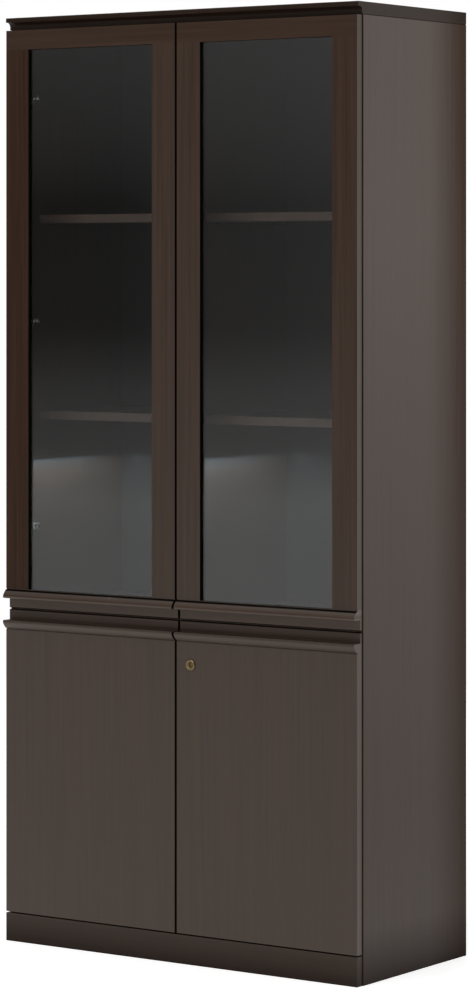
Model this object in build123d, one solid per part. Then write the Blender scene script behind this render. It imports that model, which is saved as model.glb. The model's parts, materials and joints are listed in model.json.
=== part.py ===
from build123d import *
import math
import os

# Tall office bookcase: framed glass doors above, plain locked doors below, in millimetres.
# X runs along the front to the viewer's right, Y to the back, Z up from the floor.

# Carcass
WIDTH = 900.0
HEIGHT = 1975.0
SIDE_DEPTH = 396.0
BOARD = 18.0
TOP_THICK = 25.0
PLINTH_HEIGHT = 60.0
SPLIT_Z = 710.5
BACK_THICK = 8.0
BACK_INSET = 12.0
GROOVE_DEPTH = 8.0
GROOVE_CLEAR = 0.2

# Moulded front edge of the top: a square lip over a cove
TOP_SETBACK = 1.5
TOP_LIP = 9.5
TOP_LEDGE = 4.5
COVE_R = 10.0
ARRIS = 1.0
SHADOW_LINE = 1.5

# Plastic corner blocks that join the boards
CORNER_LEG = 22.0
CORNER_EDGE = 4.0
CORNER_WIDTH = 18.0
CORNER_ROW_FRONT = 60.0
CORNER_ROW_REAR = 60.0
PLINTH_CORNER_X = 210.0

# Shelves on twelve-sided pins
LOW_SHELF_TOP = 1132.0
HIGH_SHELF_TOP = 1555.0
LOWER_SHELF_TOP = 398.0
SHELF_SETBACK = 76.0
SHELF_CLEAR = 1.0
PIN_ROW_FRONT = 37.0
PIN_ROW_REAR = 50.0
SHELF_PIN_R = 2.5
SHELF_PIN_SIDES = 12
SHELF_PIN_DEPTH = 9.0
SHELF_PIN_REACH = 8.0
HOLE_CLEAR = 0.05

# Doors
DOOR_THICK = 18.0
DOOR_GAP = 2.0
DOOR_REVEAL = 2.0
MEETING_GAP = 3.0
SPLIT_GAP = 3.0
DOOR_TOP_CLEAR = 2.0
DOOR_FOOT_CLEAR = 3.0
STILE = 60.0
RAIL = 42.0
GLASS_INSET = 6.0
GLASS_THICK = 4.0
REBATE = 8.0
GLASS_CLEAR = 1.5
EASED_EDGE = 1.0

# Pull moulding along the split edge of every door
PULL_REACH = 11.5
PULL_LIP = 20.0
PULL_TONGUE = 22.0
PULL_INSET = 12.0
SEAM_HEIGHT = 1.5
SEAM_DEPTH = 2.0
NOSE_R = 5.0
NOSE_RISE = 4.0
NOSE_SLOPE = 28.0
TONGUE_ROUND = 1.5

# Concealed hinges with one pin each
PIN_FROM_SIDE = 8.5
PIN_FROM_BACK = 11.0
HINGE_PIN_R = 1.5
PIN_RUN_CLEAR = 0.05
PIN_SEAT_CLEAR = 0.02
EYE_R = 2.4
EYE_SIDES = 16
ARM_WIDTH = 12.0
ARM_THICK = 2.0
ARM_DROP = 0.9
ARM_REAR = 70.0
CHANNEL_START = 8.0
CHANNEL_END = 66.0
CHANNEL_HEIGHT = 3.5
CHANNEL_WALL = 1.2
PLATE_THICK = 3.5
PLATE_START = 14.0
PLATE_WIDTH = 16.0
PLATE_WING = (12.0, 48.0)
PLATE_WING_Y = 37.0
CUP_TAB = 3.0
CUP_REACH = 35.0
CUP_HEIGHT = 40.0
CUP_CORNER = 6.0
CUP_DEPTH = 15.0
CUP_WALL = 0.8
CUP_FIT = 0.1
FLANGE_THICK = 1.0
FLANGE_START = 7.0
FLANGE_END = 41.0
FLANGE_HEIGHT = 58.0
LUG_GAP = 0.4
LUG_THICK = 2.5
LUG_LENGTH = 7.0
LUG_RISE = 3.0
UPPER_HINGE_FROM_TOP = 143.0
UPPER_HINGE_FROM_FOOT = 171.0
MIDDLE_HINGE_DROP = 18.0
LOWER_HINGE_FROM_TOP = 142.0
LOWER_HINGE_FROM_FOOT = 100.0

# Bumpers on the backs of the doors
BUMPER = 7.0
BUMPER_CLEAR = 0.1
UPPER_BUMPER_INSET = 36.0
LOWER_BUMPER_X = 60.0

# Cam lock in the lower right door
LOCK_FROM_EDGE = 36.5
LOCK_BELOW_PULL = 47.0
BEZEL_R = 11.0
BEZEL_FACE_R = 9.8
BEZEL_EDGE = 2.2
BEZEL_HEIGHT = 3.4
BEZEL_DISH_R = 7.6
BEZEL_DISH = 1.4
BARREL_R = 9.0
BARREL_CLEAR = 0.2
PLUG_R = 6.0
PLUG_SUNK = 0.6
KEYWAY = (2.2, 8.4, 8.0)
NUT_THICK = 3.5
NUT_FLATS_R = 12.0
CAM_GAP = 0.3
CAM_THICK = 2.5
CAM_HUB_R = 9.0
CAM_WIDTH = 14.0
CAM_REACH = 52.0
CAM_DRIVE = 7.0
STRIKE = (14.0, 2.0, 22.0)

# Slide bolt that holds the lower left door
BOLT_X = -30.0
BOLT_R = 4.0
BOLT_RUN_CLEAR = 0.06
BOLT_BEHIND_DOOR = 10.0
BOLT_LENGTH = 75.0
BOLT_REST_GAP = 2.5
BOLT_TRAVEL = 12.0
BOLT_SOCKET_CLEAR = 0.7
BOLT_SOCKET_DEPTH = 14.0
BOLT_CASE_WIDTH = 16.0
BOLT_CASE_WALL = 2.0
BOLT_CASE_HEIGHT = 60.0
BOLT_CASE_DROP = 7.0
BOLT_PLATE = (26.0, 2.0)
BOLT_KNOB_R = 2.0
BOLT_KNOB_REACH = 13.0
BOLT_SLOT_CLEAR = 0.3

# Places worked out from the sizes
HALF = WIDTH / 2
WALL_X = HALF - BOARD
OVERALL_DEPTH = SIDE_DEPTH + DOOR_GAP + DOOR_THICK + PULL_REACH
REAR_Y = OVERALL_DEPTH / 2
FRONT_Y = REAR_Y - SIDE_DEPTH
DOOR_BACK_Y = FRONT_Y - DOOR_GAP
FACE_Y = DOOR_BACK_Y - DOOR_THICK
PANEL_Y = REAR_Y - BACK_INSET - BACK_THICK
SIDE_TOP = HEIGHT - TOP_THICK
FLOOR_TOP = PLINTH_HEIGHT + BOARD
DIVISION_FOOT = SPLIT_Z - BOARD / 2
DIVISION_TOP = SPLIT_Z + BOARD / 2
DOOR_OUTER = HALF - DOOR_REVEAL
DOOR_INNER = MEETING_GAP / 2
UPPER_FOOT = SPLIT_Z + SPLIT_GAP / 2
UPPER_TOP = SIDE_TOP - DOOR_TOP_CLEAR
LOWER_FOOT = PLINTH_HEIGHT + DOOR_FOOT_CLEAR
LOWER_TOP = SPLIT_Z - SPLIT_GAP / 2
PULL_HEIGHT = PULL_TONGUE + PULL_LIP
UPPER_SEAM = UPPER_FOOT + PULL_HEIGHT
LOWER_SEAM = LOWER_TOP - PULL_HEIGHT
RAIL_FOOT = UPPER_TOP - RAIL
OPEN_OUTER = DOOR_OUTER - STILE
OPEN_INNER = DOOR_INNER + STILE
GLASS_Y = FACE_Y + GLASS_INSET
PIN_X = HALF - PIN_FROM_SIDE
PIN_Y = DOOR_BACK_Y - PIN_FROM_BACK
CUP_OUTER = DOOR_OUTER - CUP_TAB
CUP_X = CUP_OUTER - CUP_REACH / 2
CROP_SHARE = 2 - math.sqrt(2)
CUP_FLOOR_Y = DOOR_BACK_Y - CUP_DEPTH + CUP_WALL
ARM_X = WALL_X - PLATE_THICK
ARM_BACK_Y = PIN_Y - ARM_DROP
UPPER_HINGE_LOW = UPPER_FOOT + UPPER_HINGE_FROM_FOOT
UPPER_HINGE_HIGH = UPPER_TOP - UPPER_HINGE_FROM_TOP
UPPER_HINGE_MIDDLE = (UPPER_HINGE_LOW + UPPER_HINGE_HIGH) / 2 - MIDDLE_HINGE_DROP
UPPER_HINGES = (UPPER_HINGE_LOW, UPPER_HINGE_MIDDLE, UPPER_HINGE_HIGH)
LOWER_HINGES = (LOWER_FOOT + LOWER_HINGE_FROM_FOOT, LOWER_TOP - LOWER_HINGE_FROM_TOP)
LOCK_X = DOOR_INNER + LOCK_FROM_EDGE
LOCK_Z = LOWER_SEAM - LOCK_BELOW_PULL
BOLT_Y = DOOR_BACK_Y + BOLT_BEHIND_DOOR
BOLT_TOP = DIVISION_FOOT - BOLT_REST_GAP
BOLT_CASE_TOP = BOLT_TOP - BOLT_CASE_DROP
BOLT_CASE_FOOT = BOLT_CASE_TOP - BOLT_CASE_HEIGHT
BOLT_KNOB_Z = BOLT_CASE_FOOT + (BOLT_CASE_HEIGHT - BOLT_TRAVEL) / 2
SHELF_FRONT_Y = FRONT_Y + SHELF_SETBACK
SHELF_BACK_Y = PANEL_Y - SHELF_CLEAR
CORNER_ROWS = (FRONT_Y + CORNER_ROW_FRONT, PANEL_Y - CORNER_ROW_REAR)
SHELF_PIN_ROWS = (SHELF_FRONT_Y + PIN_ROW_FRONT, SHELF_BACK_Y - PIN_ROW_REAR)


def block(x0, x1, y0, y1, z0, z1):
    """Box between two corners."""
    middle = Pos((x0 + x1) / 2, (y0 + y1) / 2, (z0 + z1) / 2)
    return middle * Box(abs(x1 - x0), abs(y1 - y0), abs(z1 - z0))


def rod(radius, start, direction, length):
    """Cylinder that starts at a point and runs along a direction."""
    base = Plane(origin=start, z_dir=direction)
    return extrude(base * Circle(radius), length)


def along_x(outline, x0, x1):
    """Solid of a closed outline in Y and Z, run along X."""
    return Pos(min(x0, x1), 0, 0) * extrude(Plane.YZ * make_face(outline), abs(x1 - x0))


def group(shapes):
    """Separate solids held in one node."""
    return Compound([solid for shape in shapes for solid in shape.solids()])


def flipped(shape):
    """The same piece on the left-hand side."""
    return mirror(shape, about=Plane.YZ)


def flipped_group(shapes):
    return group([flipped(shape) for shape in shapes])


# Shelves and their pins

def peg(radius, start, length):
    """Many-sided peg along X that turns a flat upwards."""
    section = RegularPolygon(radius, SHELF_PIN_SIDES, major_radius=False, rotation=180 / SHELF_PIN_SIDES)
    return extrude(Plane(origin=start, z_dir=(1, 0, 0)) * section, length)


def shelf_board(x0, x1, top):
    """Shelf between two walls with a little play at both ends."""
    return block(x0 + SHELF_CLEAR, x1 - SHELF_CLEAR, SHELF_FRONT_Y, SHELF_BACK_Y, top - BOARD, top)


def pin_places(shelf_tops):
    """Depth and height of every pin along one wall."""
    return [(y, top - BOARD - SHELF_PIN_R) for y in SHELF_PIN_ROWS for top in shelf_tops]


UPPER_PIN_PLACES = pin_places((LOW_SHELF_TOP, HIGH_SHELF_TOP))
SIDE_PIN_PLACES = UPPER_PIN_PLACES + pin_places((LOWER_SHELF_TOP,))


def side_pin(y, z):
    """Pin pushed into the side panel, under the end of a shelf."""
    return peg(SHELF_PIN_R, (WALL_X - SHELF_PIN_REACH, y, z), SHELF_PIN_REACH + SHELF_PIN_DEPTH)


def side_pin_hole(y, z):
    return peg(SHELF_PIN_R + HOLE_CLEAR, (WALL_X, y, z), SHELF_PIN_DEPTH + HOLE_CLEAR)


def partition_pin(y, z):
    """Longer pin right through the partition, under two shelves."""
    half = BOARD / 2 + SHELF_PIN_REACH
    return peg(SHELF_PIN_R, (-half, y, z), 2 * half)


def partition_pin_hole(y, z):
    return peg(SHELF_PIN_R + HOLE_CLEAR, (-BOARD / 2, y, z), BOARD)


# Hinges, drawn for the right-hand side

def cup_plane(z):
    """Sketch plane on the back of the door that looks into the door."""
    return Plane(origin=(CUP_X, DOOR_BACK_Y, z), x_dir=(1, 0, 0), z_dir=(0, -1, 0))


def cup_outline(inset):
    """Outline of the pocket with cropped corners, drawn in by an even inset."""
    outline = Rectangle(CUP_REACH - 2 * inset, CUP_HEIGHT - 2 * inset)
    return chamfer(outline.vertices(), CUP_CORNER - inset * CROP_SHARE)


def hinge_pocket(z):
    """Pocket milled into the back of the door."""
    return extrude(cup_plane(z) * cup_outline(0), CUP_DEPTH)


def hinge_cup(z):
    """Pressed hinge case: tray, open flange on the door's back and two lugs punched square for the pin."""
    plane = cup_plane(z)
    inside = cup_outline(CUP_FIT + CUP_WALL)
    tray = extrude(plane * cup_outline(CUP_FIT), CUP_DEPTH)
    tray -= extrude(plane * inside, CUP_DEPTH - CUP_WALL)
    flange_middle = CUP_OUTER - (FLANGE_START + FLANGE_END) / 2
    flange = Pos(flange_middle - CUP_X, 0) * Rectangle(FLANGE_END - FLANGE_START, FLANGE_HEIGHT) - inside
    case = tray + extrude(plane * flange, -FLANGE_THICK)
    wall_x = CUP_OUTER - CUP_FIT - CUP_WALL
    for way in (-1, 1):
        near = z + way * (ARM_WIDTH / 2 + LUG_GAP)
        far = near + way * LUG_THICK
        case += block(wall_x - LUG_LENGTH, wall_x, CUP_FLOOR_Y, PIN_Y + LUG_RISE, near, far)
    seat = HINGE_PIN_R + PIN_SEAT_CLEAR
    end = ARM_WIDTH / 2 + LUG_GAP + LUG_THICK
    return case - block(PIN_X - seat, PIN_X + seat, PIN_Y - seat, PIN_Y + seat, z - end, z + end)


def hinge_pin(z):
    """Steel pin held in the two lugs."""
    half = ARM_WIDTH / 2 + LUG_GAP + LUG_THICK
    return rod(HINGE_PIN_R, (PIN_X, PIN_Y, z - half), (0, 0, 1), 2 * half)


def hinge_arm(z):
    """Bent arm: eye on the pin, a run out of the cup and a channel back along the side panel."""
    low = z - ARM_WIDTH / 2
    high = z + ARM_WIDTH / 2
    arm = extrude(Plane((PIN_X, PIN_Y, low)) * RegularPolygon(EYE_R, EYE_SIDES), ARM_WIDTH)
    arm += block(ARM_X - ARM_THICK, PIN_X, ARM_BACK_Y - ARM_THICK, ARM_BACK_Y, low, high)
    arm += block(ARM_X - ARM_THICK, ARM_X, ARM_BACK_Y - ARM_THICK, FRONT_Y + ARM_REAR, low, high)
    rim_x = ARM_X - ARM_THICK - CHANNEL_HEIGHT
    for foot in (low, high - CHANNEL_WALL):
        arm += block(rim_x, ARM_X, FRONT_Y + CHANNEL_START, FRONT_Y + CHANNEL_END, foot, foot + CHANNEL_WALL)
    return arm - rod(HINGE_PIN_R + PIN_RUN_CLEAR, (PIN_X, PIN_Y, low), (0, 0, 1), ARM_WIDTH)


def mounting_plate(z):
    """Winged plate that carries the arm on the side panel."""
    wing_depth, wing_height = PLATE_WING
    wing_front = FRONT_Y + PLATE_WING_Y - wing_depth / 2
    foot = z - PLATE_WIDTH / 2
    plate = block(ARM_X, WALL_X, FRONT_Y + PLATE_START, FRONT_Y + ARM_REAR, foot, foot + PLATE_WIDTH)
    wing_foot = z - wing_height / 2
    wing = block(ARM_X, WALL_X, wing_front, wing_front + wing_depth, wing_foot, wing_foot + wing_height)
    return plate + wing


# Carcass boards

def top_panel():
    """Top board with its moulded front edge."""
    lip_y = FACE_Y + TOP_SETBACK
    cove_front = lip_y + TOP_LEDGE
    cove_back = cove_front + COVE_R
    cove_top = HEIGHT - TOP_LIP
    cove_foot = cove_top - COVE_R
    outline = Polyline(
        (cove_front, cove_top), (lip_y, cove_top), (lip_y, HEIGHT - ARRIS), (lip_y + ARRIS, HEIGHT),
        (REAR_Y, HEIGHT), (REAR_Y, SIDE_TOP), (cove_back, SIDE_TOP), (cove_back, cove_foot),
    )
    outline += RadiusArc((cove_back, cove_foot), (cove_front, cove_top), -COVE_R)
    return along_x(outline, -HALF, HALF)


def side_panel():
    """Right-hand side with a shadow line under the top, its groove for the back and its pin holes."""
    board = block(WALL_X, HALF, FRONT_Y, REAR_Y, 0, SIDE_TOP)
    top_edges = board.edges().group_by(Axis.Z)[-1]
    board = chamfer(top_edges.sort_by(Axis.X)[-1], SHADOW_LINE)
    groove_back = PANEL_Y + BACK_THICK + GROOVE_CLEAR
    board -= block(WALL_X, WALL_X + GROOVE_DEPTH, PANEL_Y, groove_back, PLINTH_HEIGHT, SIDE_TOP)
    return board - [side_pin_hole(y, z) for y, z in SIDE_PIN_PLACES]


def fixed_board(foot):
    """Board between the side panels, flush with their front edges."""
    return block(-WALL_X, WALL_X, FRONT_Y, PANEL_Y, foot, foot + BOARD)


def division_panel():
    """Fixed board behind the split between the doors, with the square socket of the slide bolt."""
    half = BOLT_R + BOLT_SOCKET_CLEAR
    socket_top = DIVISION_FOOT + BOLT_SOCKET_DEPTH
    socket = block(BOLT_X - half, BOLT_X + half, BOLT_Y - half, BOLT_Y + half, DIVISION_FOOT, socket_top)
    return fixed_board(DIVISION_FOOT) - socket


def upper_partition():
    """Upright board in the middle of the glazed part, drilled through for its pins."""
    board = block(-BOARD / 2, BOARD / 2, FRONT_Y, PANEL_Y, DIVISION_TOP, SIDE_TOP)
    return board - [partition_pin_hole(y, z) for y, z in UPPER_PIN_PLACES]


def back_panel():
    """Thin back held in the grooves of the side panels."""
    edge_x = WALL_X + GROOVE_DEPTH - GROOVE_CLEAR
    return block(-edge_x, edge_x, PANEL_Y, PANEL_Y + BACK_THICK, PLINTH_HEIGHT, SIDE_TOP)


def corner_block(corner, inward, across):
    """Block under a board and against an upright, from their shared corner."""
    outline = Polyline(
        (0, 0), (CORNER_LEG, 0), (CORNER_LEG, -CORNER_EDGE), (CORNER_EDGE, -CORNER_LEG), (0, -CORNER_LEG),
        close=True,
    )
    section = Plane(origin=corner, x_dir=inward, z_dir=across)
    return extrude(section * make_face(outline), CORNER_WIDTH / 2, both=True)


def corner_blocks():
    """Blocks on both sides under the fixed boards, beside the partition and behind the plinth."""
    side_blocks = [
        corner_block((WALL_X, y, z), (-1, 0, 0), (0, 1, 0))
        for y in CORNER_ROWS for z in (SIDE_TOP, DIVISION_FOOT, PLINTH_HEIGHT)
    ]
    middle_blocks = [corner_block((BOARD / 2, y, SIDE_TOP), (1, 0, 0), (0, -1, 0)) for y in CORNER_ROWS]
    plinth_blocks = [
        corner_block((x, FRONT_Y, PLINTH_HEIGHT), (0, 1, 0), (1, 0, 0))
        for x in (-PLINTH_CORNER_X, 0, PLINTH_CORNER_X)
    ]
    return side_blocks + [flipped(shape) for shape in side_blocks] + middle_blocks + plinth_blocks


# Doors, drawn for the right-hand side

def eased_corner(z0, z1):
    """What is taken off the outer back edge of a door so that it swings past its side panel."""
    round_x = DOOR_OUTER - EASED_EDGE
    round_y = DOOR_BACK_Y - EASED_EDGE
    corner = block(round_x, DOOR_OUTER + EASED_EDGE, round_y, DOOR_BACK_Y + EASED_EDGE, z0, z1)
    return corner - rod(EASED_EDGE, (round_x, round_y, z0), (0, 0, 1), z1 - z0)


def glass_rebate():
    """Step round the back of the glazed opening that takes the pane and its beads."""
    inner = OPEN_INNER - REBATE
    outer = OPEN_OUTER + REBATE
    return block(inner, outer, GLASS_Y, DOOR_BACK_Y, UPPER_SEAM - REBATE, RAIL_FOOT + REBATE)


def top_rail():
    board = block(DOOR_INNER, DOOR_OUTER, FACE_Y, DOOR_BACK_Y, RAIL_FOOT, UPPER_TOP)
    return board - glass_rebate() - eased_corner(RAIL_FOOT, UPPER_TOP)


def hinge_stile():
    board = block(OPEN_OUTER, DOOR_OUTER, FACE_Y, DOOR_BACK_Y, UPPER_SEAM, RAIL_FOOT)
    board = board - glass_rebate() - eased_corner(UPPER_SEAM, RAIL_FOOT)
    return board - [hinge_pocket(z) for z in UPPER_HINGES]


def meeting_stile():
    return block(DOOR_INNER, OPEN_INNER, FACE_Y, DOOR_BACK_Y, UPPER_SEAM, RAIL_FOOT) - glass_rebate()


def pull(seam, way):
    """Pull moulding from its seam towards the split: a swelling lip, then a recessed tongue."""
    lip_start = seam + way * SEAM_HEIGHT
    lip_end = seam + way * PULL_LIP
    tongue_end = seam + way * PULL_HEIGHT
    tongue_y = FACE_Y + PULL_INSET
    nose_front = FACE_Y - PULL_REACH
    nose_y = nose_front + NOSE_R
    nose_z = lip_end - way * NOSE_RISE
    slope = math.radians(NOSE_SLOPE)
    nose_start = (nose_y - NOSE_R * math.cos(slope), nose_z - way * NOSE_R * math.sin(slope))
    nose_end = (nose_y - math.sqrt(NOSE_R ** 2 - NOSE_RISE ** 2), lip_end)
    outline = Polyline(
        nose_end, (tongue_y, lip_end), (tongue_y, tongue_end - way * TONGUE_ROUND),
        (tongue_y + TONGUE_ROUND, tongue_end), (DOOR_BACK_Y, tongue_end), (DOOR_BACK_Y, seam),
        (FACE_Y + SEAM_DEPTH, seam), (FACE_Y + SEAM_DEPTH, lip_start), (FACE_Y, lip_start),
    )
    outline += TangentArc(nose_start, (FACE_Y, lip_start), tangent=(math.sin(slope), -way * math.cos(slope)))
    outline += ThreePointArc(nose_start, (nose_front, nose_z), nose_end)
    low = min(seam, tongue_end)
    high = max(seam, tongue_end)
    return along_x(outline, DOOR_INNER, DOOR_OUTER) - eased_corner(low, high)


def upper_pull():
    return pull(UPPER_SEAM, -1) - glass_rebate()


def lower_pull():
    return pull(LOWER_SEAM, 1)


def glass_pane():
    edge = REBATE - GLASS_CLEAR
    inner = OPEN_INNER - edge
    outer = OPEN_OUTER + edge
    return block(inner, outer, GLASS_Y, GLASS_Y + GLASS_THICK, UPPER_SEAM - edge, RAIL_FOOT + edge)


def glass_beads():
    """Four strips that hold the pane in its rebate from behind."""
    bead_y = GLASS_Y + GLASS_THICK
    inner = OPEN_INNER - REBATE
    outer = OPEN_OUTER + REBATE
    foot = UPPER_SEAM - REBATE
    top = RAIL_FOOT + REBATE
    uprights = [block(x, x + REBATE, bead_y, DOOR_BACK_Y, foot, top) for x in (inner, OPEN_OUTER)]
    rails = [block(OPEN_INNER, OPEN_OUTER, bead_y, DOOR_BACK_Y, z, z + REBATE) for z in (foot, RAIL_FOOT)]
    return uprights + rails


def lower_panel():
    """Plain door panel below its pull."""
    board = block(DOOR_INNER, DOOR_OUTER, FACE_Y, DOOR_BACK_Y, LOWER_FOOT, LOWER_SEAM)
    board -= eased_corner(LOWER_FOOT, LOWER_SEAM)
    return board - [hinge_pocket(z) for z in LOWER_HINGES]


def bumper(x, z):
    """Soft pad between a door's back and the carcass."""
    half = BUMPER / 2
    return block(x - half, x + half, DOOR_BACK_Y, FRONT_Y - BUMPER_CLEAR, z - half, z + half)


UPPER_BUMPER_X = DOOR_INNER + BUMPER / 2 + BUMPER_CLEAR
UPPER_BUMPER_HEIGHTS = (UPPER_SEAM + UPPER_BUMPER_INSET, RAIL_FOOT - UPPER_BUMPER_INSET)
UPPER_BUMPERS = [bumper(UPPER_BUMPER_X, z) for z in UPPER_BUMPER_HEIGHTS]
LOWER_BUMPER_HEIGHTS = ((DIVISION_FOOT + LOWER_TOP) / 2, (LOWER_FOOT + FLOOR_TOP) / 2)
LOWER_BUMPERS = [bumper(LOWER_BUMPER_X, z) for z in LOWER_BUMPER_HEIGHTS]


# Cam lock, drawn on the door's face with its axis to the front

LOCK_AXIS = Location(Plane(origin=(LOCK_X, FACE_Y, LOCK_Z), x_dir=(1, 0, 0), z_dir=(0, -1, 0)))
BARREL_END = -(DOOR_THICK + NUT_THICK)
CAM_FRONT = BARREL_END - CAM_GAP
CAM_BACK = CAM_FRONT - CAM_THICK


def lock_hole():
    return LOCK_AXIS * extrude(Circle(BARREL_R + BARREL_CLEAR), -DOOR_THICK)


def lock_body():
    """Bezel and barrel turned as one piece, bored for the plug."""
    bore_r = PLUG_R + PIN_RUN_CLEAR
    outline = Polyline(
        (bore_r, BARREL_END), (BARREL_R, BARREL_END), (BARREL_R, 0), (BEZEL_R, 0), (BEZEL_R, BEZEL_EDGE),
        (BEZEL_FACE_R, BEZEL_HEIGHT), (BEZEL_DISH_R, BEZEL_HEIGHT), (bore_r, BEZEL_HEIGHT - BEZEL_DISH),
        close=True,
    )
    return LOCK_AXIS * revolve(Plane.XZ * make_face(outline), Axis.Z)


def lock_nut():
    """Hexagon nut that clamps the lock to the back of the door."""
    nut = RegularPolygon(NUT_FLATS_R, 6, major_radius=False) - Circle(BARREL_R + PIN_RUN_CLEAR)
    return LOCK_AXIS * (Pos(0, 0, -DOOR_THICK) * extrude(nut, -NUT_THICK))


def lock_plug():
    """Plug with its upright keyway in front and a square drive behind."""
    wide, tall, deep = KEYWAY
    front = BEZEL_HEIGHT - PLUG_SUNK
    plug = Pos(0, 0, CAM_FRONT) * extrude(Circle(PLUG_R), front - CAM_FRONT)
    plug += Pos(0, 0, CAM_BACK) * extrude(Rectangle(CAM_DRIVE, CAM_DRIVE), CAM_THICK)
    plug -= Pos(0, 0, front - deep) * extrude(Rectangle(wide, tall), deep)
    return LOCK_AXIS * plug


def lock_cam():
    """Flat cam that hangs down when unlocked and reaches behind the other door when locked."""
    tail = Pos(0, -CAM_REACH / 2) * Rectangle(CAM_WIDTH, CAM_REACH)
    outline = Circle(CAM_HUB_R) + tail - Rectangle(CAM_DRIVE + 2 * HOLE_CLEAR, CAM_DRIVE + 2 * HOLE_CLEAR)
    return LOCK_AXIS * (Pos(0, 0, CAM_BACK) * extrude(outline, CAM_THICK))


def lock_strike():
    """Plate on the left door that the locked cam lies behind."""
    wide, thick, tall = STRIKE
    foot = LOCK_Z - tall / 2
    inner = -DOOR_INNER - EASED_EDGE
    top = min(foot + tall, BOLT_CASE_FOOT - EASED_EDGE)
    return block(inner - wide, inner, DOOR_BACK_Y, DOOR_BACK_Y + thick, foot, top)


# Slide bolt on the lower left door

def bolt_case():
    """Case with a back plate, a bore for the bolt and a slot for its knob."""
    plate_wide, plate_thick = BOLT_PLATE
    half = BOLT_CASE_WIDTH / 2
    back_y = BOLT_Y + BOLT_R + BOLT_RUN_CLEAR + BOLT_CASE_WALL
    case = block(BOLT_X - half, BOLT_X + half, DOOR_BACK_Y, back_y, BOLT_CASE_FOOT, BOLT_CASE_TOP)
    case = fillet(case.edges().filter_by(Axis.Z).group_by(Axis.Y)[-1], BOLT_R)
    case += block(
        BOLT_X - plate_wide / 2, BOLT_X + plate_wide / 2, DOOR_BACK_Y, DOOR_BACK_Y + plate_thick,
        BOLT_CASE_FOOT, BOLT_CASE_TOP,
    )
    case -= rod(BOLT_R + BOLT_RUN_CLEAR, (BOLT_X, BOLT_Y, BOLT_CASE_FOOT), (0, 0, 1), BOLT_CASE_HEIGHT)
    slot_half = BOLT_KNOB_R + BOLT_SLOT_CLEAR
    slot = block(
        BOLT_X - slot_half, BOLT_X + slot_half, BOLT_Y, back_y + 1,
        BOLT_KNOB_Z - slot_half, BOLT_KNOB_Z + BOLT_TRAVEL + slot_half,
    )
    return case - slot


def door_bolt():
    """Round bolt with a chamfered tip and a knob out of the slot."""
    bolt = rod(BOLT_R, (BOLT_X, BOLT_Y, BOLT_TOP - BOLT_LENGTH), (0, 0, 1), BOLT_LENGTH)
    bolt = chamfer(bolt.edges().group_by(Axis.Z)[-1], BOLT_R / 4)
    return bolt + rod(BOLT_KNOB_R, (BOLT_X, BOLT_Y, BOLT_KNOB_Z), (0, 1, 0), BOLT_KNOB_REACH)


# The assembly

nodes = {}
nodes["top_panel"] = top_panel()
nodes["right_side_panel"] = side_panel()
nodes["left_side_panel"] = flipped(nodes["right_side_panel"])
nodes["bottom_panel"] = fixed_board(PLINTH_HEIGHT)
nodes["division_panel"] = division_panel()
nodes["upper_partition"] = upper_partition()
nodes["back_panel"] = back_panel()
nodes["plinth_front"] = block(-DOOR_OUTER, DOOR_OUTER, FACE_Y, FRONT_Y, 0, PLINTH_HEIGHT)
nodes["plinth_rear"] = block(-WALL_X, WALL_X, PANEL_Y - BOARD, PANEL_Y, 0, PLINTH_HEIGHT)

nodes["corner_blocks"] = group(corner_blocks())

for level, top in (("low", LOW_SHELF_TOP), ("high", HIGH_SHELF_TOP)):
    nodes[f"upper_right_{level}_shelf"] = shelf_board(BOARD / 2, WALL_X, top)
    nodes[f"upper_left_{level}_shelf"] = shelf_board(-WALL_X, -BOARD / 2, top)
nodes["lower_shelf"] = shelf_board(-WALL_X, WALL_X, LOWER_SHELF_TOP)
side_pins = [side_pin(y, z) for y, z in SIDE_PIN_PLACES]
nodes["right_shelf_pins"] = group(side_pins)
nodes["left_shelf_pins"] = flipped_group(side_pins)
nodes["partition_shelf_pins"] = group([partition_pin(y, z) for y, z in UPPER_PIN_PLACES])

ALL_HINGES = UPPER_HINGES + LOWER_HINGES
right_arms = [hinge_arm(z) for z in ALL_HINGES]
right_plates = [mounting_plate(z) for z in ALL_HINGES]
nodes["right_hinge_arms"] = group(right_arms)
nodes["left_hinge_arms"] = flipped_group(right_arms)
nodes["right_hinge_plates"] = group(right_plates)
nodes["left_hinge_plates"] = flipped_group(right_plates)

right_door = {
    "upper_{}_top_rail": [top_rail()],
    "upper_{}_hinge_stile": [hinge_stile()],
    "upper_{}_meeting_stile": [meeting_stile()],
    "upper_{}_pull": [upper_pull()],
    "upper_{}_glass": [glass_pane()],
    "upper_{}_glass_beads": glass_beads(),
    "upper_{}_hinge_cups": [hinge_cup(z) for z in UPPER_HINGES],
    "upper_{}_hinge_pins": [hinge_pin(z) for z in UPPER_HINGES],
    "upper_{}_bumpers": UPPER_BUMPERS,
    "lower_{}_panel": [lower_panel()],
    "lower_{}_pull": [lower_pull()],
    "lower_{}_hinge_cups": [hinge_cup(z) for z in LOWER_HINGES],
    "lower_{}_hinge_pins": [hinge_pin(z) for z in LOWER_HINGES],
    "lower_{}_bumpers": LOWER_BUMPERS,
}
for name, pieces in right_door.items():
    nodes[name.format("right")] = group(pieces)
    nodes[name.format("left")] = flipped_group(pieces)

nodes["lower_right_panel"] = lower_panel() - lock_hole()
nodes["lock_body"] = lock_body()
nodes["lock_nut"] = lock_nut()
nodes["lock_plug"] = lock_plug()
nodes["lock_cam"] = lock_cam()
nodes["lock_strike"] = lock_strike()
nodes["bolt_case"] = bolt_case()
nodes["door_bolt"] = door_bolt()

os.makedirs("parts", exist_ok=True)
for name, shape in nodes.items():
    export_step(shape, f"parts/{name}.step")
print(len(nodes), "nodes")
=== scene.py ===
import bmesh
import bpy
import json
import math
from mathutils import Matrix, Vector


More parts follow.
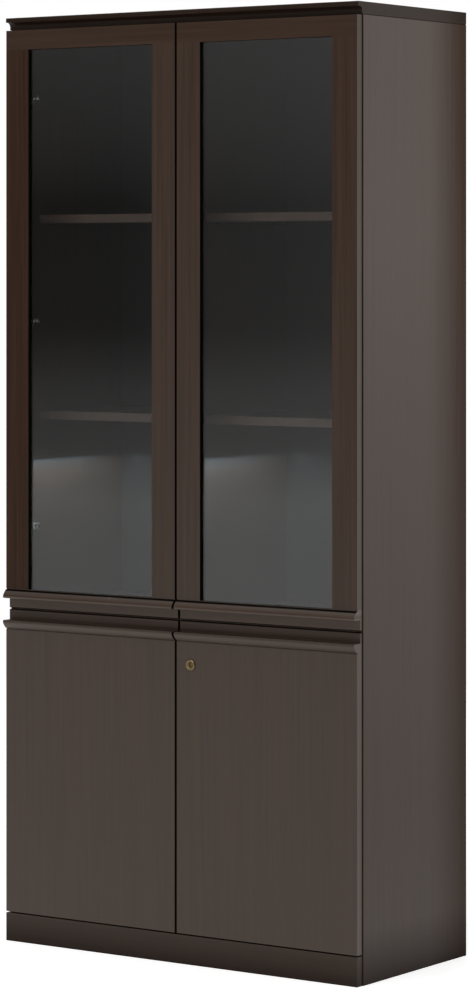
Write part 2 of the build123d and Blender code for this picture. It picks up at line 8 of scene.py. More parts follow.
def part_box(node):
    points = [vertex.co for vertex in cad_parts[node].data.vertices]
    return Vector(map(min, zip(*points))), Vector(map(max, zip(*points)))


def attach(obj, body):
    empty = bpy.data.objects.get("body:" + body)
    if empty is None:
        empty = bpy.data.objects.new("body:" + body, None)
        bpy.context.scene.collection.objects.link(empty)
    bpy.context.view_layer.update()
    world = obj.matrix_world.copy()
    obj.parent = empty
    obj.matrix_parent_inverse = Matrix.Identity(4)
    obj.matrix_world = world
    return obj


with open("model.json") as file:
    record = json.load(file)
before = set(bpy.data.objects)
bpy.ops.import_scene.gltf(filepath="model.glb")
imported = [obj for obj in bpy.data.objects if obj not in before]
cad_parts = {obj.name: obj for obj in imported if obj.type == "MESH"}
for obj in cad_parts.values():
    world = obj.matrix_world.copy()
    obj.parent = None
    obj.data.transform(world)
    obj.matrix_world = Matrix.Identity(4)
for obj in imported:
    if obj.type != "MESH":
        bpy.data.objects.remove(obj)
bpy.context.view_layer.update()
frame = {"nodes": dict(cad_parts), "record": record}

# Metres unless a name says otherwise, in the frame of the CAD: X runs along the front, Y to the back, Z up.
# Colours are linear, and a sheen is a specular level.

# Camera, level and to the right of the front, with the lens raised as in the photograph
CAMERA_AT = (4.4080, -6.2953, 1.4386)
CAMERA_TURN_DEG = 34.94
PHOTO_HEIGHT_PX = 990
FOCAL_PX = 3629.4
HORIZON_ROW_PX = 268.7
SENSOR_MM = 36.0

# Rounded edges of the boards and mouldings, which are known by a word in their slots
WOODEN = ("laminate", "moulding")
BOARD_EDGE = 0.0006
BOARD_EDGE_STEPS = 2
BOARD_EDGE_DEG = 35

# Screw heads: radius and height of each kind, and their places on the fittings
PLATE_SCREW = (0.0036, 0.0015)
PLATE_SCREW_SPREAD = 0.016
PLATE_WING_BACK = 0.023
ARM_SCREW = (0.0042, 0.0030)
ARM_SCREW_BACKS = (0.0055, 0.0155, 0.028)
ARM_THICK = 0.002
CUP_SCREW = (0.0032, 0.0011)
CUP_SCREW_INSET = 0.0045
CUP_SCREW_SHARE = 0.45
CASE_SCREW = (0.0017, 0.0008)
CASE_SCREW_INSET = (0.0025, 0.008)
CAM_SCREW = (0.0045, 0.0018)
SCREW_TWIST_DEG = 37

# Dome of a screw head in shares of its radius and height, and size of each arm of its cross recess
DOME = ((0, 0), (1, 0), (1, 0.35), (0.86, 0.72), (0.55, 0.94), (0, 1))
DOME_STEPS = 24
RECESS_LONG, RECESS_WIDE, RECESS_TALL = 1.1, 0.24, 1.2

# Distances within which points are one, in a CAD mesh and on a turned one
CAD_MERGE, TURNED_MERGE = 1e-7, 1e-8

# Noises of the materials: repeats per metre across their run and along it, detail and shift
STREAKS = {"across": 170.0, "along": 2.5, "detail": 5.0}
PORES = {"across": 900.0, "along": 22.0, "detail": 2.0, "shift": (3.0, 1.0, 2.0)}
MOTTLE = {"across": 60.0, "detail": 6.0}
GRIT = {"across": 1500.0, "detail": 2.0}
BRUSHING = {"across": 1800.0, "along": 60.0, "detail": 3.0}
CLOUDS = {"across": 140.0, "detail": 4.0}
TARNISH = {"across": 420.0, "detail": 5.0}
DUST = {"across": 35.0, "along": 18.0, "detail": 6.0}
FIBRE = {"across": 2200.0, "detail": 4.0}
NOISE_ROUGHNESS = 0.6
TURNING_SCALE, TURNING_WOBBLE = 700.0, 0.4

# Ranges of a noise over which a colour or the roughness changes
GRAIN_SPAN = (0.30, 0.72)
GRAIN_ROUGH_SPAN = (0.25, 0.75)
PORE_SPAN = (0.30, 0.44)
MOTTLE_SPAN = (0.35, 0.65)
DUST_SPAN = (0.3, 0.8)
MID_SPAN = (0.3, 0.7)
WHOLE_SPAN = (0.0, 1.0)

# What those changes add to a roughness, or between which roughnesses they run
GRAIN_ROUGH = (-0.05, 0.05)
MOTTLE_ROUGH = (0.0, 0.12)
BRUSHED_ROUGH = (-0.07, 0.10)
TURNED_ROUGH = (0.26, 0.38)
FIBRE_ROUGH = (0.75, 0.95)

# Depth and strength of the fine relief
PORE_RELIEF = (0.0002, 0.25)
GRIT_RELIEF = (0.0001, 0.3)
BRUSHED_RELIEF = (0.00004, 0.4)
TURNED_RELIEF = (0.00003, 0.5)
FIBRE_RELIEF = (0.0002, 0.5)

# A face lies across an axis once the normal's part along this axis has grown through this range
FACING_SPAN = (0.70, 0.75)

# Cover of the laminate's pores, and their share of its dark colour
PORE_COVER, PORE_SHARE = 0.35, 0.5

# Margin about the pane within which the doors' edges face the glass or each other and get painted shade
GLASS_LAP = 0.006

# Width of the painted shadow beside the gaps between the doors
GAP_SHADOW = 0.0014

# Painted contact shade at the foot of the sides and the plinth, darker and duller towards the floor:
# heights, cover, share of the dark colour and share of the sheen
FOOT_SHADE_HEIGHTS = (0.0, 0.11)
FOOT_SHADE_COVER = 0.6
FOOT_SHADE_SHARE = 0.15
FOOT_SHADE_SHINE = 0.2

# Depths over which the sides' sheen falls towards the wall, painted shade, and the share of the sheen there
REAR_SHADE_DEPTHS = (0.07, 0.214)
REAR_SHADE_SHINE = 0.15

# Heights between which the door frames' sheen grows downwards, a painted reflection
GAIN_HEIGHTS = (0.75, 1.70)

# Sheen of the pulls, painted highlight and painted shade: two depths below a pull's top, and the share of
# the full sheen at each. The upper lip has painted shade above its nose and a painted highlight towards the
# glass, and the lower tongue has painted shade. The full sheen lasts up to the swell's edge below the deeper
# of the two.
LIP_SWELL = ((0.0145, 0.0065), (0.45, 1.5))
TONGUE_SWELL = ((0.019, 0.009), (0.40, 0.62))
SWELL_EDGE = 0.0008

# Depth of the lock's plug at which painted shade starts in its keyway, and the depth over which it grows
KEYWAY_FROM, KEYWAY_FADE = 0.0003, 0.0003

BROWN_DARK = (0.0272, 0.0148, 0.0096)
BROWN_LIGHT = (0.0452, 0.0251, 0.0168)
# Lighter copy of the brown for the upper pulls: painted light on their lip
LIT_PULL_GAIN = 1.25
# Darker copy of the brown for the top's moulding: painted shade
MOULDING_SHADE_SHARE = 0.45
EDGE_BAND = (0.056, 0.041, 0.034)
SHELF_BAND = (0.095, 0.063, 0.049)
# Painted shade for the doors' edges that face the glass or each other, and beside the gaps
PAINTED_EDGE_SHADE = (0.0060, 0.0042, 0.0034)
# Painted shade in the lock's keyway
KEYWAY_SHADE = (0.012, 0.008, 0.004)
WARM_SHEEN = (1.0, 0.97, 0.90)
GLASS_CLEAR, GLASS_DUSTY = (0.86, 0.88, 0.87), (0.80, 0.82, 0.81)
GLASS_IOR = 1.46
WHITE = (1.0, 1.0, 1.0)

DOOR_SHEEN = 0.47
DOOR_ROUGH, SIDE_ROUGH, INNER_ROUGH = 0.42, 0.36, 0.45

FLOOR_HALF = 5.0
FLOOR_GREY = (0.8, 0.8, 0.8)
FLOOR_ROUGH = 0.9
FLOOR_GLOW = 0.60

# Strip lights over the lowest glazed bays: place across the front, height and watts. They hang close to the
# left wall of their bay, shine down and fade towards the back.
BAY_LIGHTS = (("left", -0.392, 1.028, 1.10), ("right", 0.049, 1.043, 0.87))
BAY_LIGHT_Y = 0.005
BAY_LIGHT_SIZE = (0.01, 0.36)
BAY_LIGHT_FADE = (1.15, 0.32)
COOL_LIGHT = (0.55, 0.79, 1.0)

# Brightness of the room by the rise of a ray, pale below the horizon and dim above it, and what the front
# adds to it by the heading of the ray
RISE_SPAN = 0.25
ROOM_LEVELS = (
    (-0.25, 1.0), (-0.09, 0.92), (-0.0637, 0.92), (-0.061, 0.82), (-0.0533, 0.57), (-0.0516, 0.51),
    (-0.0494, 0.43), (-0.0465, 0.42), (-0.0332, 0.32), (-0.0249, 0.20), (-0.0167, 0.11), (0.009, 0.10),
    (0.018, 0.085), (0.0245, 0.135), (0.0355, 0.20), (0.0575, 0.31), (0.25, 0.45),
)
HEADING_SPAN = 1.0
HEADING_LEVELS = (
    (-0.625, 0.0), (-0.594, 0.04), (-0.580, 0.12), (-0.549, 0.20), (-0.45, 0.20), (-0.30, 0.0),
)

# Sockets of the Mix node when it mixes colours
MIX_FACTOR, MIX_FIRST, MIX_SECOND, MIX_RESULT = 0, 6, 7, 2


# Nodes

def feed(tree, socket, value):
    """Gives an input a link or a value."""
    if isinstance(value, bpy.types.NodeSocket):
        tree.links.new(value, socket)
    else:
        socket.default_value = value


def fill(tree, made, **inputs):
    """Gives a node's named inputs links or values."""
    for key, value in inputs.items():
        feed(tree, made.inputs[key.replace("_", " ")], value)


def node(tree, kind, settings=None, **inputs):
    """Adds a node, with plain settings and with links or values for its inputs."""
    made = tree.nodes.new(kind)
    for key, value in (settings or {}).items():
        setattr(made, key, value)
    fill(tree, made, **inputs)
    return made


def material(name):
    """New node material, its tree and its shader node."""
    made = bpy.data.materials.new(name)
    made.use_nodes = True
    return made, made.node_tree, made.node_tree.nodes["Principled BSDF"]


def maths(tree, operation, *values):
    made = node(tree, "ShaderNodeMath", {"operation": operation})
    for socket, value in zip(made.inputs, values):
        feed(tree, socket, value)
    return made.outputs[0]


def rgba(colour):
    return (*colour, 1.0)


def scaled(colour, factor):
    return [part * factor for part in colour]


def around(rough, change):
    """Two roughnesses about a middle one."""
    return [rough + part for part in change]


def coordinate(tree, kind, axis):
    """One part of a texture coordinate."""
    place = node(tree, "ShaderNodeTexCoord").outputs[kind]
    return node(tree, "ShaderNodeSeparateXYZ", Vector=place).outputs[axis]


def distance(tree, kind, axis):
    """Size of one part of a texture coordinate."""
    return maths(tree, "ABSOLUTE", coordinate(tree, kind, axis))


def noise(tree, across, detail, axis=None, along=None, shift=(0, 0, 0)):
    """Noise in the piece's own metres, which may be drawn out along an axis."""
    scale = [along if name == axis else across for name in "XYZ"]
    place = node(tree, "ShaderNodeTexCoord").outputs["Object"]
    mapped = node(tree, "ShaderNodeMapping", Vector=place, Location=shift, Scale=scale).outputs["Vector"]
    made = node(
        tree, "ShaderNodeTexNoise", Vector=mapped, Scale=1.0, Detail=detail, Roughness=NOISE_ROUGHNESS,
    )
    return made.outputs["Fac"]


def ramp(tree, factor, span, dark, light):
    """Two-colour ramp over a span of a factor."""
    made = node(tree, "ShaderNodeValToRGB", Fac=factor)
    for element, position, colour in zip(made.color_ramp.elements, span, (dark, light)):
        element.position = position
        element.color = rgba(colour)
    return made.outputs["Color"]


def spread(tree, value, span, to):
    """Value moved from one range to another, and held beyond its ends."""
    made = node(
        tree, "ShaderNodeMapRange", Value=value,
        From_Min=span[0], From_Max=span[1], To_Min=to[0], To_Max=to[1],
    )
    return made.outputs["Result"]


def levels(tree, value, span, stops):
    """Grey that follows a value between the two ends of its span, through (value, grey) stops."""
    made = node(tree, "ShaderNodeValToRGB", Fac=spread(tree, value, (-span, span), WHOLE_SPAN))
    elements = made.color_ramp.elements
    while len(elements) < len(stops):
        elements.new(0.5)
    for element, (at, grey) in zip(elements, stops):
        element.position = 0.5 + at / span / 2
        element.color = rgba((grey, grey, grey))
    return made.outputs["Color"]


def zone(tree, axis, near, far):
    """One where a place lies between two distances from nought along an axis."""
    return maths(tree, "COMPARE", distance(tree, "Object", axis), (near + far) / 2, (far - near) / 2)


def facing(tree, axis):
    """One on faces across an axis, nought on the rest."""
    return spread(tree, distance(tree, "Normal", axis), FACING_SPAN, (0.0, 1.0))


def relief(tree, height, depth, strength):
    made = node(tree, "ShaderNodeBump", Height=height, Distance=depth, Strength=strength)
    return made.outputs["Normal"]


def mixed(tree, factor, first, second):
    """Plain second colour over the first by a factor."""
    made = node(tree, "ShaderNodeMix", {"data_type": "RGBA"})
    feed(tree, made.inputs[MIX_FACTOR], factor)
    feed(tree, made.inputs[MIX_FIRST], first)
    feed(tree, made.inputs[MIX_SECOND], rgba(second))
    return made.outputs[MIX_RESULT]


# Materials

def laminate(
    name, along, dark, light, rough, sheen, band=None, band_axis="X",
    shaded=(), seams=(), foot_shaded=False, rear_shaded=False, low_gain=None, swell=None,
):
    """Satin laminate with its grain along one axis.

    Faces across the band axis may be edge banding of another colour. Faces across a shaded axis get painted
    shade, dark and without sheen, between two distances from nought, and every face along a seam gets the
    same as painted shadow. The foot may get painted contact shade, and the rear edge painted shade by a
    falling sheen. The sheen may grow downwards by a factor as painted reflection, or change between two
    heights from one share to another, which holds above them, as painted highlight and shade.
    """
    made, tree, shader = material(name)
    streaks = noise(tree, axis=along, **STREAKS)
    pores = noise(tree, axis=along, **PORES)
    colour = ramp(tree, streaks, GRAIN_SPAN, dark, light)
    colour = mixed(tree, spread(tree, pores, PORE_SPAN, (PORE_COVER, 0.0)), colour, scaled(dark, PORE_SHARE))
    if band:
        colour = mixed(tree, facing(tree, band_axis), colour, band)
    # Painted shade: edges facing the glass or each other, and strips beside the gaps, get a dark colour and
    # no sheen
    shade_zones = [maths(tree, "MULTIPLY", zone(tree, *edge), facing(tree, edge[0])) for edge in shaded]
    shade_zones += [zone(tree, *seam) for seam in seams]
    shares = []
    for mask in shade_zones:
        colour = mixed(tree, mask, colour, PAINTED_EDGE_SHADE)
        shares.append(spread(tree, mask, WHOLE_SPAN, (1.0, 0.0)))
    # Painted contact shade: darker colour and less sheen towards the floor
    if foot_shaded:
        height = coordinate(tree, "Object", "Z")
        foot_shade = spread(tree, height, FOOT_SHADE_HEIGHTS, (FOOT_SHADE_COVER, 0.0))
        colour = mixed(tree, foot_shade, colour, scaled(dark, FOOT_SHADE_SHARE))
        shares.append(spread(tree, height, FOOT_SHADE_HEIGHTS, (FOOT_SHADE_SHINE, 1.0)))
    # Painted shade towards the wall: the sheen falls
    if rear_shaded:
        shares.append(spread(tree, coordinate(tree, "Object", "Y"), REAR_SHADE_DEPTHS, (1.0, REAR_SHADE_SHINE)))
    # Painted reflection: the sheen grows downwards
    if low_gain:
        shares.append(spread(tree, coordinate(tree, "Object", "Z"), GAIN_HEIGHTS, (low_gain, 1.0)))
    # Painted highlight and painted shade on the pulls: the sheen changes between two heights
    if swell:
        heights, (low_share, high_share) = swell
        height = coordinate(tree, "Object", "Z")
        change = spread(tree, height, heights, (low_share - 1, high_share - 1))
        reached = maths(tree, "GREATER_THAN", height, heights[0] - SWELL_EDGE)
        shares.append(maths(tree, "MULTIPLY_ADD", reached, change, 1.0))
    shine = sheen
    for share in shares:
        shine = maths(tree, "MULTIPLY", share, shine)
    fill(
        tree, shader, Base_Color=colour, Specular_IOR_Level=shine, Specular_Tint=rgba(WARM_SHEEN),
        Roughness=spread(tree, streaks, GRAIN_ROUGH_SPAN, around(rough, GRAIN_ROUGH)),
        Normal=relief(tree, pores, *PORE_RELIEF),
    )
    return made


def painted_board(name, dark, light, rough, sheen):
    """Smooth board with a faint mottle."""
    made, tree, shader = material(name)
    mottle = noise(tree, **MOTTLE)
    fill(
        tree, shader, Base_Color=ramp(tree, mottle, MOTTLE_SPAN, dark, light), Specular_IOR_Level=sheen,
        Roughness=spread(tree, mottle, MID_SPAN, around(rough, MOTTLE_ROUGH)),
        Normal=relief(tree, noise(tree, **GRIT), *GRIT_RELIEF),
    )
    return made


def metal(name, dark, light, rough, brushed):
    """Plated metal with brushing along one axis."""
    made, tree, shader = material(name)
    lines = noise(tree, axis=brushed, **BRUSHING)
    clouds = noise(tree, **CLOUDS)
    fill(
        tree, shader, Base_Color=ramp(tree, clouds, MID_SPAN, dark, light), Metallic=1.0,
        Roughness=spread(tree, lines, MID_SPAN, around(rough, BRUSHED_ROUGH)),
        Normal=relief(tree, lines, *BRUSHED_RELIEF),
    )
    return made


def turned_brass(name, axis_at, dark, light, shade_from=None):
    """Satin brass with fine turning marks round the lock's axis, with painted shade beyond a place on Y if
    given.
    """
    made, tree, shader = material(name)
    place = node(tree, "ShaderNodeTexCoord").outputs["Object"]
    mapped = node(tree, "ShaderNodeMapping", Vector=place, Location=scaled(axis_at, -1)).outputs["Vector"]
    rings = node(
        tree, "ShaderNodeTexWave", {"wave_type": "RINGS", "rings_direction": "Y"},
        Vector=mapped, Scale=TURNING_SCALE, Distortion=TURNING_WOBBLE,
    ).outputs["Fac"]
    colour = ramp(tree, noise(tree, **TARNISH), GRAIN_SPAN, dark, light)
    # Painted shade in the keyway, beyond a depth on Y
    if shade_from:
        depths = (shade_from, shade_from + KEYWAY_FADE)
        deep = spread(tree, coordinate(tree, "Object", "Y"), depths, (0.0, 1.0))
        colour = mixed(tree, deep, colour, KEYWAY_SHADE)
    fill(
        tree, shader, Base_Color=colour, Metallic=1.0,
        Roughness=spread(tree, rings, WHOLE_SPAN, TURNED_ROUGH),
        Normal=relief(tree, rings, *TURNED_RELIEF),
    )
    return made


def float_glass(name):
    """Clear pane with a trace of smoke and of dust."""
    made, tree, shader = material(name)
    dust = noise(tree, axis="Z", **DUST)
    fill(
        tree, shader, Base_Color=ramp(tree, dust, DUST_SPAN, GLASS_CLEAR, GLASS_DUSTY),
        Roughness=0.0, Transmission_Weight=1.0, IOR=GLASS_IOR,
    )
    return made


def soft(name, dark, light):
    """Matt rubber or felt."""
    made, tree, shader = material(name)
    fibre = noise(tree, **FIBRE)
    fill(
        tree, shader, Base_Color=ramp(tree, fibre, MID_SPAN, dark, light),
        Roughness=spread(tree, fibre, MID_SPAN, FIBRE_ROUGH),
        Normal=relief(tree, fibre, *FIBRE_RELIEF),
    )
    return made


def swelling(pull, profile):
    """Heights on a pull and the shares of its sheen there."""
    depths, shares = profile
    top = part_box(pull)[1].z
    return [top - depth for depth in depths], shares


lock_low, lock_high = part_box("lock_body")
lock_at = (lock_low + lock_high) / 2
keyway_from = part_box("lock_plug")[0].y + KEYWAY_FROM
pane_low, pane_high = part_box("upper_right_glass")
pull_low, pull_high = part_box("lower_right_pull")
upper_pull_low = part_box("upper_right_pull")[0]

BROWN = (BROWN_DARK, BROWN_LIGHT)
LIT_BROWN = [scaled(brown, LIT_PULL_GAIN) for brown in BROWN]
ON_DOORS = {
    "rough": DOOR_ROUGH,
    "band": EDGE_BAND,
    # painted shade on the edges that face the glass or each other
    "shaded": (
        ("X", 0.0, pane_high.x + GLASS_LAP),
        ("Z", pane_low.z - GLASS_LAP, pane_high.z + GLASS_LAP),
    ),
    # painted shadow beside the gaps between the doors
    "seams": (
        ("X", 0.0, pull_low.x + GAP_SHADOW),
        ("Z", pull_high.z - GAP_SHADOW, upper_pull_low.z + GAP_SHADOW),
    ),
}
INSIDE = {"rough": INNER_ROUGH, "sheen": 0.3, "band": SHELF_BAND, "band_axis": "Y"}

door_upright = laminate("door_laminate", "Z", *BROWN, sheen=DOOR_SHEEN, **ON_DOORS)
# Lower pulls: painted shade on the tongue by a lower sheen
door_level = laminate(
    "door_laminate_level", "X", *BROWN, sheen=DOOR_SHEEN, **ON_DOORS,
    swell=swelling("lower_right_pull", TONGUE_SWELL),
)
# Upper pulls: a lighter copy of the brown as painted light, and a painted highlight and shade on the lip
pull_level = laminate(
    "pull_laminate", "X", *LIT_BROWN, sheen=0.44, **ON_DOORS, swell=swelling("upper_right_pull", LIP_SWELL),
)
# Frame copies that differ only in sheen: painted reflection growing down the stiles, and painted shade on the
# left hinge stile
frame_upright = laminate("frame_laminate", "Z", *BROWN, sheen=0.20, **ON_DOORS, low_gain=1.85)
frame_right = laminate("frame_laminate_right", "Z", *BROWN, sheen=0.13, **ON_DOORS, low_gain=2.4)
frame_left_shaded = laminate("frame_laminate_left_shaded", "Z", *BROWN, sheen=0.01, **ON_DOORS, low_gain=5.0)
frame_level = laminate("frame_laminate_level", "X", *BROWN, sheen=0.12, **ON_DOORS)
# Sides: painted contact shade at the foot and painted shade towards the wall
side_upright = laminate(
    "side_laminate", "Z", *BROWN, rough=SIDE_ROUGH, sheen=0.27, foot_shaded=True, rear_shaded=True,
)
inner_level = laminate("inner_laminate", "X", *BROWN, **INSIDE)
inner_upright = laminate("inner_laminate_upright", "Z", *BROWN, **INSIDE)
# Plinth: painted contact shade towards the floor
plinth_level = laminate("plinth_laminate", "X", *BROWN, rough=INNER_ROUGH, sheen=0.46, foot_shaded=True)
# Top's moulding in a darker copy of the brown: painted shade
moulding_level = laminate(
    "dark_moulding", "X", scaled(BROWN_DARK, MOULDING_SHADE_SHARE), BROWN_DARK, rough=SIDE_ROUGH, sheen=0.10,
)
back_board = painted_board(
    "back_board", dark=(0.015, 0.012, 0.010), light=(0.021, 0.017, 0.0145), rough=0.55, sheen=0.1,
)
black_plastic = painted_board(
    "black_plastic", dark=(0.010, 0.010, 0.010), light=(0.018, 0.018, 0.018), rough=0.50, sheen=0.5,
)
nickel = metal("nickel_steel", dark=(0.52, 0.50, 0.47), light=(0.66, 0.64, 0.61), rough=0.28, brushed="Y")
zinc = metal("zinc_fittings", dark=(0.42, 0.42, 0.42), light=(0.55, 0.55, 0.56), rough=0.36, brushed="Z")
brass = turned_brass("lock_brass", lock_at, dark=(0.15, 0.105, 0.050), light=(0.27, 0.205, 0.108))
# Darker copy of the lock brass for the plug: painted shade of the plug sunk in its ring
shaded_plug_brass = turned_brass(
    "shaded_plug_brass", lock_at, dark=(0.09, 0.062, 0.026), light=(0.18, 0.130, 0.062), shade_from=keyway_from,
)
polished = metal("polished_steel", dark=(0.76, 0.75, 0.73), light=(0.88, 0.87, 0.86), rough=0.17, brushed="X")
# Near-black steel for the shelf pins: painted shade, so they stay unseen and without glint in the dark bays
shaded_pins = metal(
    "pin_steel_shaded", dark=(0.045, 0.038, 0.033), light=(0.080, 0.070, 0.062), rough=0.45, brushed="X",
)
glass = float_glass("clear_glass")
felt = soft("soft_rubber", dark=(0.34, 0.32, 0.29), light=(0.48, 0.46, 0.42))

by_slot = {
    "dark_moulding": moulding_level,
    "side_laminate": side_upright,
    "inner_laminate": inner_level,
    "back_board": back_board,
    "plinth_laminate": plinth_level,
    "frame_laminate": frame_upright,
    "door_laminate": door_upright,
    "clear_glass": glass,
    "black_plastic": black_plastic,
    "nickel_steel": nickel,
    "zinc_fittings": zinc,
    "soft_rubber": felt,
    "lock_brass": brass,
}
by_node = {
    "upper_partition": inner_upright,
    "upper_left_hinge_stile": frame_left_shaded,
    "upper_right_hinge_stile": frame_right,
    "lock_plug": shaded_plug_brass,
}
for pins in ("left_shelf_pins", "right_shelf_pins", "partition_shelf_pins"):
    by_node[pins] = shaded_pins
for hand in ("left", "right"):
    by_node[f"upper_{hand}_top_rail"] = frame_level
    by_node[f"upper_{hand}_pull"] = pull_level
    by_node[f"lower_{hand}_pull"] = door_level


def soften(piece):
    """Small rounded edges that catch the light."""
    edge = piece.modifiers.new("soft_edge", "BEVEL")
    edge.width = BOARD_EDGE
    edge.segments = BOARD_EDGE_STEPS
    edge.limit_method = "ANGLE"
    edge.angle_limit = math.radians(BOARD_EDGE_DEG)


for part in frame["record"]["subparts"]:
    piece = frame["nodes"][part["node"]]
    slot = part["material_slot"]
    piece.data.materials.clear()
    piece.data.materials.append(by_node.get(part["node"], by_slot[slot]))
    if any(word in slot for word in WOODEN):
        soften(piece)


# Screw heads

def loose_boxes(name):
    """Lowest and highest corner of each separate solid of a CAD node, from the lowest up."""
    mesh = bmesh.new()
    mesh.from_mesh(frame["nodes"][name].data)
    bmesh.ops.remove_doubles(mesh, verts=mesh.verts, dist=CAD_MERGE)
    left = set(mesh.verts)
    boxes = []
    while left:
        stack = [left.pop()]
        found = []
        while stack:
            vertex = stack.pop()
            found.append(vertex.co.copy())
            near = {edge.other_vert(vertex) for edge in vertex.link_edges} & left
            left -= near
            stack.extend(near)
        corners = [[pick(point[axis] for point in found) for axis in range(3)] for pick in (min, max)]
        boxes.append([Vector(corner) for corner in corners])
    mesh.free()
    return sorted(boxes, key=lambda box: box[0].z)


def lathe(profile, steps):
    """Mesh turned about Z from (radius, height) points that start and end on the axis."""
    mesh = bmesh.new()
    points = [mesh.verts.new((radius, 0, height)) for radius, height in profile]
    edges = [mesh.edges.new(pair) for pair in zip(points, points[1:])]
    bmesh.ops.spin(
        mesh, geom=points + edges, axis=(0, 0, 1), cent=(0, 0, 0),
        angle=math.tau, steps=steps, use_merge=True,
    )
    bmesh.ops.remove_doubles(mesh, verts=mesh.verts, dist=TURNED_MERGE)
    bmesh.ops.recalc_face_normals(mesh, faces=mesh.faces)
    return mesh


def mesh_object(name, mesh):
    data = bpy.data.meshes.new(name)
    mesh.to_mesh(data)
    mesh.free()
    made = bpy.data.objects.new(name, data)
    bpy.context.scene.collection.objects.link(made)
    return made


def cross_head(radius, height):
    """Domed screw head on Z with a cross recess."""
    dome = lathe([(radius * out, height * up) for out, up in DOME], DOME_STEPS)
    recess = bmesh.new()
    for turn in (0, math.pi / 2):
        size = Matrix.Diagonal((radius * RECESS_LONG, radius * RECESS_WIDE, height * RECESS_TALL, 1))
        place = Matrix.Rotation(turn, 4, "Z") @ Matrix.Translation((0, 0, height)) @ size
        bmesh.ops.create_cube(recess, size=1.0, matrix=place)
    head = mesh_object("head", dome)
    cutter = mesh_object("recess", recess)
    cut = head.modifiers.new("cut", "BOOLEAN")
    cut.operation = "DIFFERENCE"
    cut.solver = "EXACT"
    cut.use_self = True
    cut.object = cutter
    bpy.context.view_layer.update()
    shape = bpy.data.meshes.new_from_object(head.evaluated_get(bpy.context.evaluated_depsgraph_get()))
    for spare in (head, cutter):
        bpy.data.objects.remove(spare)
    return shape


def screws(name, body, look, size, places, axis):
    """One piece with a screw head at every place, turned to an axis."""
    shape = cross_head(*size)
    turn = Vector(axis).to_track_quat("Z", "Y").to_matrix().to_4x4()
    joined = bmesh.new()
    for count, place in enumerate(places):
        twist = Matrix.Rotation(math.radians(SCREW_TWIST_DEG * count), 4, "Z")
        copy = shape.copy()
        copy.transform(Matrix.Translation(place) @ turn @ twist)
        joined.from_mesh(copy)
        bpy.data.meshes.remove(copy)
    bpy.data.meshes.remove(shape)
    made = mesh_object(name, joined)
    made.data.materials.append(look)
    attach(made, body)


BACKWARD = (0, 1, 0)

for hand, inward in (("left", 1), ("right", -1)):
    plate_places, arm_places = [], []
    for low, high in loose_boxes(f"{hand}_hinge_plates"):
        face = high.x if inward > 0 else low.x
        middle = (low.z + high.z) / 2
        for way in (-1, 1):
            plate_places.append((face, low.y + PLATE_WING_BACK, middle + way * PLATE_SCREW_SPREAD))
        for back in ARM_SCREW_BACKS:
            arm_places.append((face + inward * ARM_THICK, high.y - back, middle))
    across = (inward, 0, 0)
    screws(f"{hand}_plate_screws", "carcass", nickel, PLATE_SCREW, plate_places, across)
    screws(f"{hand}_arm_screws", "carcass", polished, ARM_SCREW, arm_places, across)
    for tier in ("upper", "lower"):
        cup_places = []
        for low, high in loose_boxes(f"{tier}_{hand}_hinge_cups"):
            x = low.x + (high.x - low.x) * CUP_SCREW_SHARE
            for z in (low.z + CUP_SCREW_INSET, high.z - CUP_SCREW_INSET):
                cup_places.append((x, high.y, z))
        door = f"{tier}_{hand}_door"
        screws(f"{tier}_{hand}_cup_screws", door, nickel, CUP_SCREW, cup_places, BACKWARD)

cam_place = (lock_at.x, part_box("lock_cam")[1].y, lock_at.z)
screws("cam_screw", "lock_core", zinc, CAM_SCREW, [cam_place], BACKWARD)

case_low, case_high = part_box("bolt_case")
inset_x, inset_z = CASE_SCREW_INSET
case_plate_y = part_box("lock_strike")[1].y
case_places = [
    (x, case_plate_y, z)
    for x in (case_low.x + inset_x, case_high.x - inset_x)
    for z in (case_low.z + inset_z, case_high.z - inset_z)
]
screws("bolt_case_screws", "lower_left_door", zinc, CASE_SCREW, case_places, BACKWARD)


# Floor, light and camera

def flat_floor():
    """Pale floor that stays bright under the cabinet's soft shadow."""
    mesh = bmesh.new()
    bmesh.ops.create_grid(mesh, x_segments=1, y_segments=1, size=FLOOR_HALF)
    made = mesh_object("floor", mesh)
    look, tree, shader = material("pale_floor")
    fill(
        tree, shader, Base_Color=rgba(FLOOR_GREY), Roughness=FLOOR_ROUGH,
        Emission_Color=rgba(WHITE), Emission_Strength=FLOOR_GLOW,
    )
    made.data.materials.append(look)


def softbox(name, at, look_at, width, height, power, fade=None, colour=WHITE):
    """Rectangular light, which may fade in between two shares of its height."""
    data = bpy.data.lights.new(name, "AREA")
    data.color = colour
    data.shape = "RECTANGLE"
    data.size, data.size_y = width, height
    data.energy = power
    if fade:
        data.use_nodes = True
        tree = data.node_tree
        within = node(tree, "ShaderNodeNewGeometry").outputs["Parametric"]
        share = node(tree, "ShaderNodeSeparateXYZ", Vector=within).outputs["Y"]
        fill(tree, tree.nodes["Emission"], Strength=spread(tree, share, fade, (0.0, 1.0)))
    made = bpy.data.objects.new(name, data)
    made.location = at
    made.rotation_euler = (Vector(look_at) - Vector(at)).to_track_quat("-Z", "Y").to_euler()
    bpy.context.scene.collection.objects.link(made)


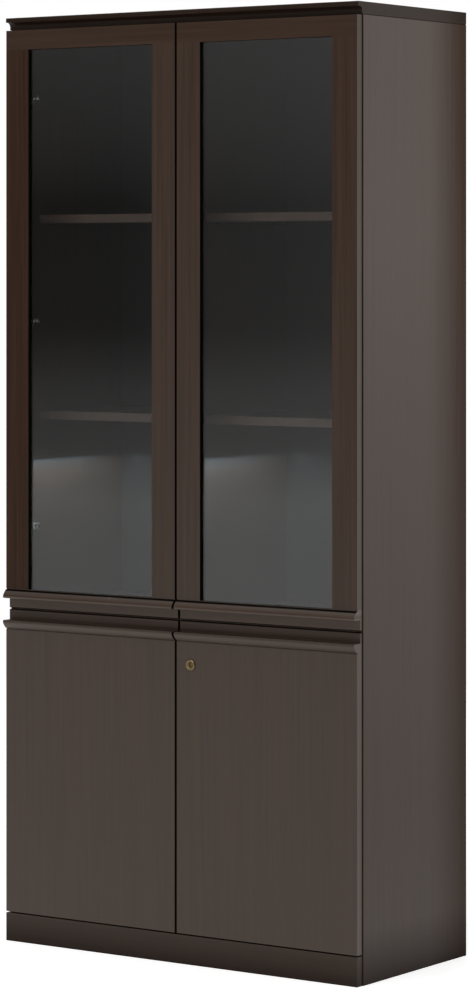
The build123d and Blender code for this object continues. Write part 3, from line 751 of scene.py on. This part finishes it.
def surroundings():
    """White for the camera, and the levels of the room for light and reflections."""
    world = bpy.data.worlds.new("studio")
    bpy.context.scene.world = world
    world.use_nodes = True
    tree = world.node_tree
    tree.nodes.clear()
    room = levels(tree, coordinate(tree, "Generated", "Z"), RISE_SPAN, ROOM_LEVELS)
    front = levels(tree, coordinate(tree, "Generated", "X"), HEADING_SPAN, HEADING_LEVELS)
    lit = node(tree, "ShaderNodeBackground", Color=rgba(WHITE), Strength=maths(tree, "ADD", room, front))
    seen = node(tree, "ShaderNodeBackground", Color=rgba(WHITE), Strength=1.0)
    camera_ray = node(tree, "ShaderNodeLightPath").outputs["Is Camera Ray"]
    either = node(tree, "ShaderNodeMixShader")
    for socket, source in zip(either.inputs, (camera_ray, lit.outputs[0], seen.outputs[0])):
        tree.links.new(source, socket)
    node(tree, "ShaderNodeOutputWorld", Surface=either.outputs[0])


def photo_camera():
    data = bpy.data.cameras.new("photo_camera")
    data.sensor_width = SENSOR_MM
    data.lens = FOCAL_PX / PHOTO_HEIGHT_PX * SENSOR_MM
    data.shift_y = (HORIZON_ROW_PX - PHOTO_HEIGHT_PX / 2) / PHOTO_HEIGHT_PX
    made = bpy.data.objects.new("photo_camera", data)
    made.location = CAMERA_AT
    made.rotation_euler = (math.pi / 2, 0, math.radians(CAMERA_TURN_DEG))
    bpy.context.scene.collection.objects.link(made)
    bpy.context.scene.camera = made


flat_floor()
surroundings()
softbox("top_light", at=(0.5, -2.5, 4.5), look_at=(0, -0.5, 0.8), width=4.0, height=4.0, power=80)
softbox(
    "side_light", at=(0.854, 0.233, 1.40), look_at=(0.418, -1.777, 1.25),
    width=0.675, height=2.2, power=5.0, fade=(0.0, 0.55),
)
for bay, x, z, power in BAY_LIGHTS:
    at, below = (x, BAY_LIGHT_Y, z), (x, BAY_LIGHT_Y, 0)
    softbox(f"{bay}_bay_light", at, below, *BAY_LIGHT_SIZE, power, BAY_LIGHT_FADE, COOL_LIGHT)
softbox("back_light", at=(-1.8, 3.6, 2.6), look_at=(0, 0, 1.0), width=2.0, height=2.0, power=30)
photo_camera()
bpy.context.scene.view_settings.view_transform = "Standard"
